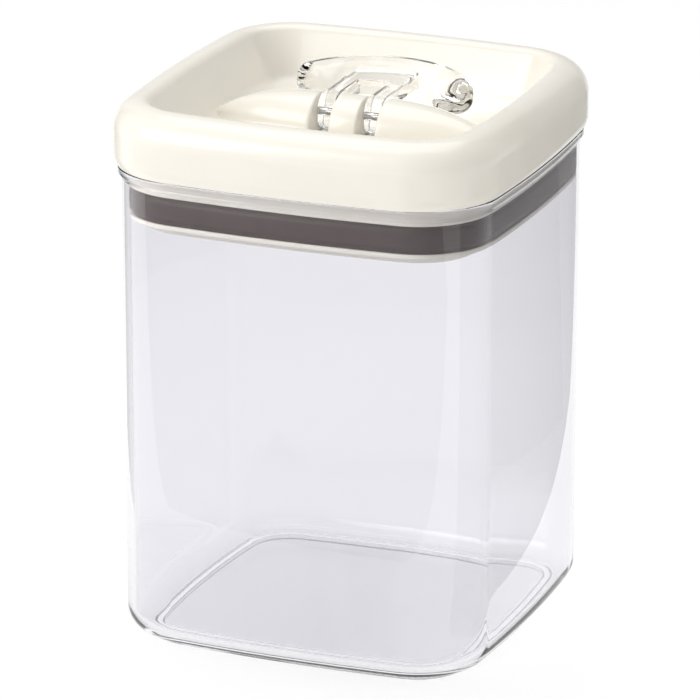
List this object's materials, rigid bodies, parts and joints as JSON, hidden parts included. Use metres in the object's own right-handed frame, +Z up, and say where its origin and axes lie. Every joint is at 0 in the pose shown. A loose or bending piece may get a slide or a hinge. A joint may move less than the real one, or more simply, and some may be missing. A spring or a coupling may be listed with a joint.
{
  "type": "food canister",
  "caption": "Square clear food canister with an ivory lid, whose folding clear lever drops a pressure plate to relax a silicone gasket.",
  "frame": {"origin": "centre of the jar's base, on the surface that the canister stands on", "axes": "+Z up through the lid, +X to the right along the lever's pivot pin, -Y the front where the mound faces; the lever folds back towards +Y"},
  "size_m": [0.114, 0.114, 0.155],
  "materials": {
    "clear_jar": "polished clear acrylic",
    "clear_lever": "polished clear acrylic",
    "ivory_plastic": "gloss moulded",
    "white_bearing": "satin",
    "dark_silicone": "satin",
    "steel": "satin"
  },
  "bodies": {
    "jar": {"jar_body": "clear_jar"},
    "lid": {"lid_cover": "ivory_plastic", "cam_wear_plate": "steel", "lid_plug": "ivory_plastic", "seal_retainer": "ivory_plastic", "plug_screws": "steel", "guide_bush": "white_bearing", "rod_seal": "dark_silicone", "return_spring": "steel", "seal_gasket": "dark_silicone"},
    "rod": {"pull_rod": "ivory_plastic", "pivot_pin": "steel", "pressure_plate": "ivory_plastic", "plate_screw": "steel", "plate_washer": "steel", "plate_cap": "ivory_plastic"},
    "lever": {"lever": "clear_lever"}
  },
  "joints": [
    {"name": "lid_lift", "type": "slide", "parent": "jar", "child": "lid", "axis": [0, 0, 1], "range_m": [0, 0.06]},
    {"name": "rod_drop", "type": "slide", "parent": "lid", "child": "rod", "axis": [0, 0, -1], "range_m": [0, 0.0024], "deforming": ["seal_gasket", "return_spring"]},
    {"name": "lever_flip", "type": "hinge", "parent": "rod", "child": "lever", "pos_m": [0, -0.001, 0.1455], "axis": [1, 0, 0], "range_deg": [0, 90]}
  ],
  "couplings": [
    {"joint": "rod_drop", "follows": "lever_flip", "m_per_rad": 0.001527}
  ]
}
